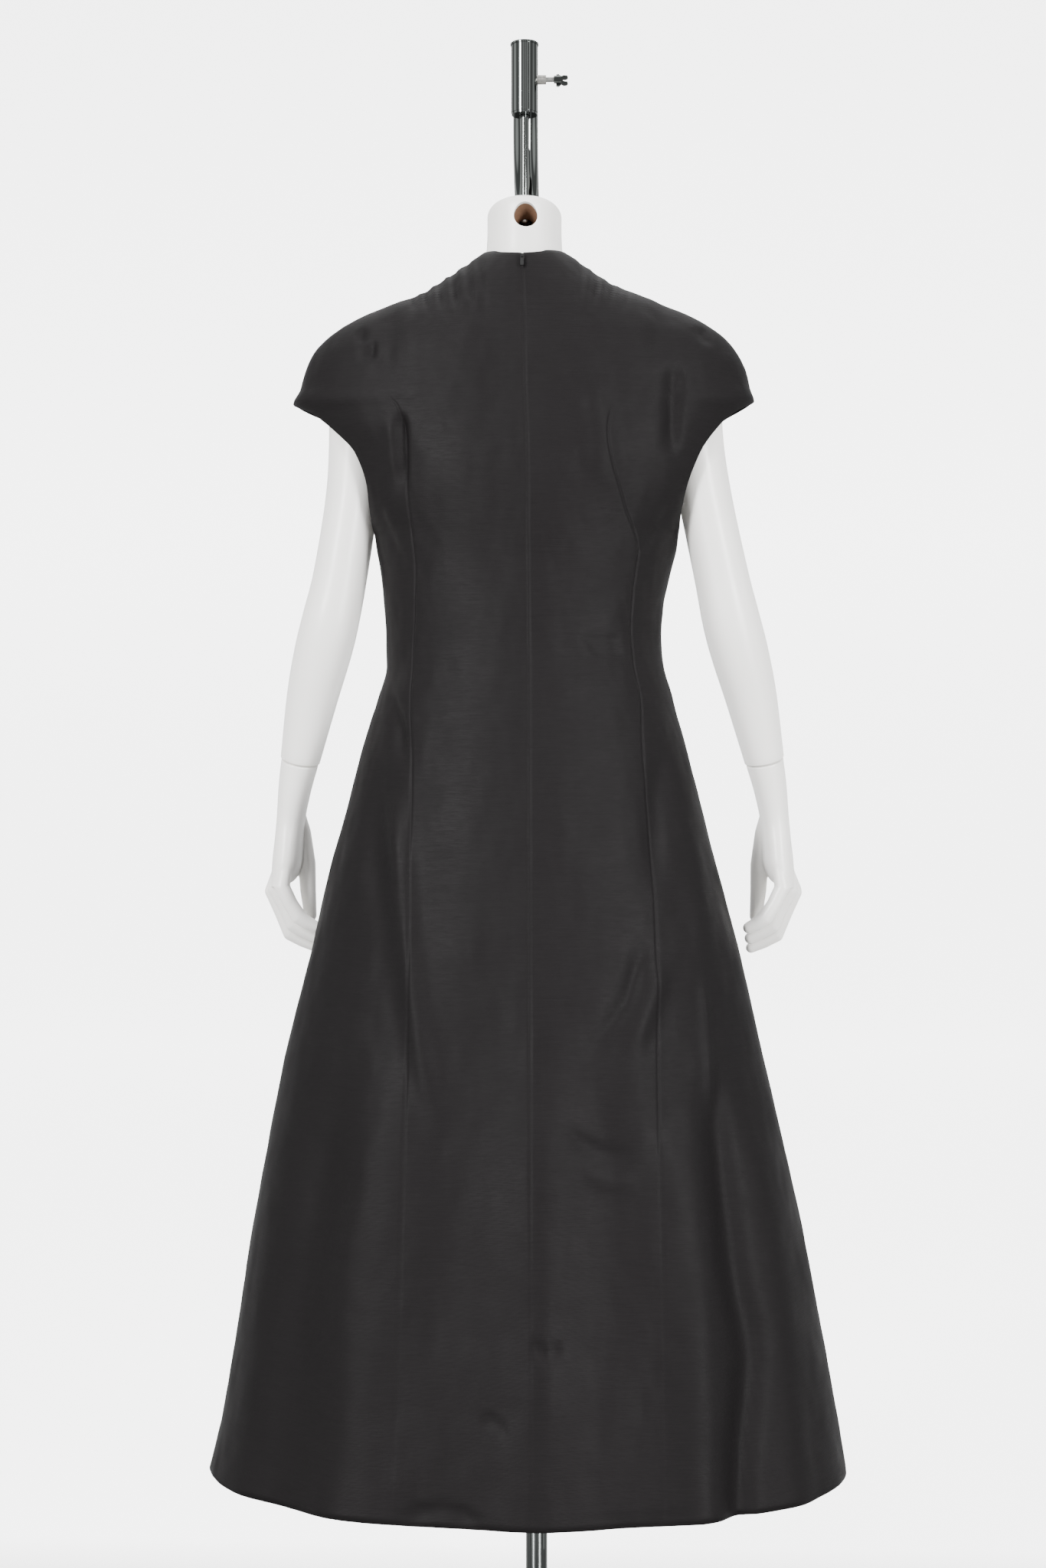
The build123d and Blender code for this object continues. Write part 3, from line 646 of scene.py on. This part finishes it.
# The right arm: middle, direction, half width across, half depth front to back.
ARM = [
    (SHOULDER_X, 0, SHOULDER_Z, 1, 0, 0, 60, 46),
    (190, 0, 1636, 0.72, 0, -0.70, 50, 46),
    (202.5, 0, 1575, 0.17, 0, -0.98, 34.5, 42),
    (212, 2, 1504, 0.17, 0.02, -0.98, 32, 38),
    (229, 4, 1412, 0.20, 0.04, -0.98, 32.5, 35),
    (241, 6, 1358, 0.26, 0.14, -0.95, 34.5, 34),
    (252, 15, 1318, 0.22, 0.22, -0.95, 34.5, 34),
    (267, 31, 1264, *FOREARM, 31, 32),
    (*SEAM, *FOREARM, 24.2, 27.2),
]
PALM = [
    (*(SEAM + FOREARM * 0.6), *FOREARM, 18.0, 21.2),
    (*(SEAM + FOREARM * 2.2), *FOREARM, 18.6, 21.8),
    (*(SEAM + FOREARM * 3.2), *FOREARM, 22.4, 25.7),
    (*(SEAM + FOREARM * 5.0), *FOREARM, 22.8, 26.1),
    (292, 58.5, 1154, *FOREARM, 20.2, 24.0),
    (297.8, 66, 1117, 0.17, 0.12, -0.98, 17.6, 23.5),
    (300.3, 68, 1088, 0.20, 0.03, -0.98, 18, 28.5),
    (302.5, 69, 1064, 0.15, 0.02, -0.98, 18.5, 32),
    (307, 70, 1044, 0.05, 0.02, -0.99, 15, 32),
    (313, 70, 1034, -0.05, 0.0, -0.99, 9, 32),
]
# The right hand's fingers: (x, y, z, radius) at the knuckle, the joints and the tip.
FINGERS = [
    [(301, 46, 1062, 8.0), (305.6, 44, 1034, 9.6), (295.3, 44, 1013, 9.2), (284.6, 44, 997, 9.4),
     (275, 45, 990, 8.4), (265, 46, 985, 7.2)],
    [(309, 61, 1062, 8.5), (316.7, 61, 1030, 9.2), (304.5, 62, 1008, 8.6), (294.8, 63, 986.5, 9.1),
     (281.5, 64, 978, 8.2), (268, 65, 971, 7.2)],
    [(311, 79, 1062, 8.5), (323, 79, 1027, 9.2), (312, 80, 1000, 8.2), (301.3, 81, 974, 8.4),
     (286, 82, 965, 7.4), (270, 83, 958, 6.5)],
    [(312, 95, 1062, 8.0), (324.5, 97, 1029, 8.8), (313, 98, 1005, 7.8), (303, 99, 983, 8.2),
     (288, 99.5, 976, 7.2), (273, 100, 970, 6.4)],
    [(293, 70, 1128, 11.0), (286.8, 76, 1099.3, 12.6), (280.2, 82, 1061.3, 11.0), (279.2, 85, 1029, 10.0),
     (276.4, 86, 996.8, 7.9)],
]
HAND_VOXEL = 1.05  # mm


def limb_mesh(rows, steps=6, around=56):
    """Points and faces of a closed limb through ovals that stand square to it."""
    verts, faces = [], []
    fine = smooth_line(rows, steps)
    for x, y, z, dx, dy, dz, half_x, half_y in fine:
        d = Vector((dx, dy, dz)).normalized()
        across = Vector((0, 1, 0)).cross(d).normalized()
        front = d.cross(across)
        for k in range(around):
            a = 2 * pi * k / around
            verts.append(tuple(Vector((x, y, z)) + across * (half_x * cos(a)) + front * (half_y * sin(a))))
    for r in range(len(fine) - 1):
        for k in range(around):
            n = (k + 1) % around
            faces.append((r * around + k, r * around + n, (r + 1) * around + n, (r + 1) * around + k))
    faces.append(tuple(reversed(range(around))))
    faces.append(tuple(range((len(fine) - 1) * around, len(fine) * around)))
    return verts, faces


def add_ball_cone(mesh, a, b, steps=7, around=24):
    """Adds a tapered finger bone: two balls and the cone between them."""
    pa, pb = Vector(a[:3]), Vector(b[:3])
    d = (pb - pa).normalized()
    side = d.orthogonal().normalized()
    up = d.cross(side)
    rings = []
    for place, radius, sign in ((pa, a[3], -1), (pb, b[3], 1)):
        bends = [pi / 2 * k / steps for k in range(steps)]
        bends = bends if sign > 0 else [-x for x in reversed(bends)]
        rings += [(place + d * (radius * sin(t)), radius * cos(t)) for t in bends]
    ends = [mesh.verts.new(pa - d * a[3]), mesh.verts.new(pb + d * b[3])]
    loops = []
    for middle, radius in rings:
        turn = [2 * pi * k / around for k in range(around)]
        ring = [middle + side * (radius * cos(t)) + up * (radius * sin(t)) for t in turn]
        loops.append([mesh.verts.new(point) for point in ring])
    for low, high in zip(loops, loops[1:]):
        for k in range(around):
            mesh.faces.new((low[k], low[(k + 1) % around], high[(k + 1) % around], high[k]))
    for k in range(around):
        mesh.faces.new((ends[0], loops[0][(k + 1) % around], loops[0][k]))
        mesh.faces.new((ends[1], loops[-1][k], loops[-1][(k + 1) % around]))


def mirrored(verts, faces):
    return [(-x, y, z) for x, y, z in verts], [tuple(reversed(f)) for f in faces]


def hand_shape():
    """The right hand in one skin: palm, fingers and thumb merged, then smoothed. Points in mm."""
    verts, faces = limb_mesh(PALM, 6, 40)
    solid = bmesh.new()
    made = [solid.verts.new(v) for v in verts]
    for f in faces:
        solid.faces.new([made[i] for i in f])
    for joints in FINGERS:
        for a, b in zip(joints, joints[1:]):
            add_ball_cone(solid, a, b)
    mesh = bpy.data.meshes.new("hand_draft")
    solid.to_mesh(mesh)
    solid.free()
    draft = bpy.data.objects.new("hand_draft", mesh)
    bpy.context.collection.objects.link(draft)
    remesh = draft.modifiers.new("one_skin", "REMESH")
    remesh.mode = "VOXEL"
    remesh.voxel_size = HAND_VOXEL
    soften = draft.modifiers.new("soften", "SMOOTH")
    soften.factor = 0.5
    soften.iterations = 3
    graph = bpy.context.evaluated_depsgraph_get()
    done = bpy.data.meshes.new_from_object(draft.evaluated_get(graph))
    verts = [tuple(v.co) for v in done.vertices]
    faces = [tuple(p.vertices) for p in done.polygons]
    bpy.data.objects.remove(draft)
    return verts, faces


def arm_rows(sign):
    """The arm's outlines, moved towards the form's right except at the shoulder."""
    rows = []
    for x, y, z, *rest in ARM:
        share = min(max(1600 - z, 0) / 150, 1)
        rows.append((x + sign * ARM_ASIDE * share, y, z, *rest))
    return rows


def build_arms_and_hands():
    verts, faces = hand_shape()
    for side, sign in (("right", 1), ("left", -1)):
        arm = limb_mesh(arm_rows(sign))
        hand = [(x + sign * ARM_ASIDE, y, z) for x, y, z in verts], faces
        if sign < 0:
            arm, hand = mirrored(*arm), mirrored(*hand)
        piece = make_piece(f"{side}_arm", *arm, f"{side}_arm", "form_paint", (f"{side}_arm_shell",))
        round_end(piece)
        make_piece(f"{side}_hand_skin", *hand, f"{side}_hand", "form_paint", (f"{side}_hand",))


def round_end(piece):
    """Rounds the edges of the arm's two flat ends."""
    bevel = piece.modifiers.new("soft_ends", "BEVEL")
    bevel.width = 0.7 * MM
    bevel.segments = 3
    bevel.limit_method = "ANGLE"
    bevel.angle_limit = radians(50)
    apply_modifiers(piece)
    piece.data.shade_smooth()


# ---------------------------------------------------------------- stage
def build_stage():
    """A grey studio floor that turns into a glowing white backdrop behind the stand."""
    run = [(-9.5, 0.0), (7.0, 0.0)]
    run += [(7.0 + 2.5 * sin(a), 2.5 - 2.5 * cos(a)) for a in np.linspace(0.1, pi / 2, 14)]
    run += [(9.5, 11.0)]
    verts = [(x, y, z) for y, z in run for x in (-13.0, 13.0)]
    faces = [(2 * i, 2 * i + 1, 2 * i + 3, 2 * i + 2) for i in range(len(run) - 1)]
    mesh = bpy.data.meshes.new("studio_floor")
    mesh.from_pydata(verts, [], faces)
    mesh.shade_smooth()
    floor = bpy.data.objects.new("studio_floor", mesh)
    bpy.context.collection.objects.link(floor)
    material, tree, principled = shader("studio_white", (0.93, 0.93, 0.93), 0.9)
    principled.inputs["Emission Color"].default_value = (1, 1, 1, 1)
    place = node(tree, "ShaderNodeTexCoord").outputs["Object"]
    depth = node(tree, "ShaderNodeSeparateXYZ", [("Vector", place)]).outputs["Y"]
    inputs = [("Value", depth), ("From Min", 0.15), ("From Max", 0.6)]
    behind = node(tree, "ShaderNodeMapRange", inputs).outputs["Result"]
    inputs = [("Value", behind), ("To Min", 0.06), ("To Max", 3.2)]
    glow = node(tree, "ShaderNodeMapRange", inputs).outputs["Result"]
    tree.links.new(glow, principled.inputs["Emission Strength"])
    colour = mix_colour(tree, behind, (0.20, 0.195, 0.185), (0.93, 0.93, 0.93))
    tree.links.new(colour, principled.inputs["Base Color"])
    mesh.materials.append(material)
    floor.visible_glossy = False  # the plating and the cloth mirror the studio's air and lamps instead


def add_light(name, place, aim, size, power, colour=(1, 1, 1)):
    data = bpy.data.lights.new(name, "AREA")
    data.shape = "RECTANGLE"
    data.size, data.size_y = size
    data.energy = power
    data.color = colour
    lamp = bpy.data.objects.new(name, data)
    lamp.location = place
    lamp.rotation_euler = (Vector(aim) - Vector(place)).to_track_quat("-Z", "Y").to_euler()
    bpy.context.collection.objects.link(lamp)


def build_lights():
    world = bpy.data.worlds.new("studio_air")
    world.use_nodes = True
    tree = world.node_tree
    tree.nodes["Background"].inputs["Color"].default_value = (1, 1, 1, 1)
    around = node(tree, "ShaderNodeTexCoord").outputs["Generated"]
    panels = node(
        tree, "ShaderNodeTexWave",
        [("Vector", around), ("Scale", 1.1), ("Distortion", 1.5), ("Detail", 1.0), ("Detail Scale", 0.6)],
        wave_type="BANDS", bands_direction="X",
    ).outputs["Fac"]
    inputs = [("Value", panels), ("From Min", 0.4), ("From Max", 0.9), ("To Min", 0.4), ("To Max", 1.7)]
    air = node(tree, "ShaderNodeMapRange", inputs).outputs["Result"]
    tree.links.new(air, tree.nodes["Background"].inputs["Strength"])
    bpy.context.scene.world = world
    aim = (0, ROD_Y, 1.1)
    add_light("key", (-2.2, -3.3, 2.5), aim, (0.6, 2.0), 330)
    add_light("fill", (2.5, -3.1, 1.7), aim, (0.8, 2.4), 280)
    add_light("top", (0, 0.4, 3.6), aim, (2.4, 2.4), 60)


def build_camera():
    turn = radians(CAMERA_TURN)
    data = bpy.data.cameras.new("camera")
    data.lens = CAMERA_LENS
    camera = bpy.data.objects.new("camera", data)
    place = Vector((sin(turn), -cos(turn), 0)) * CAMERA_DISTANCE + Vector((-0.0018, ROD_Y, CAMERA_HEIGHT))
    camera.location = place
    aim = Vector((-0.0018, ROD_Y, CAMERA_HEIGHT)) - place
    camera.rotation_euler = aim.to_track_quat("-Z", "Y").to_euler()
    bpy.context.collection.objects.link(camera)
    bpy.context.scene.camera = camera


build_camera()
build_stage()
build_lights()
dress_cad_nodes()
build_dress()
build_zip_tapes()
build_arms_and_hands()
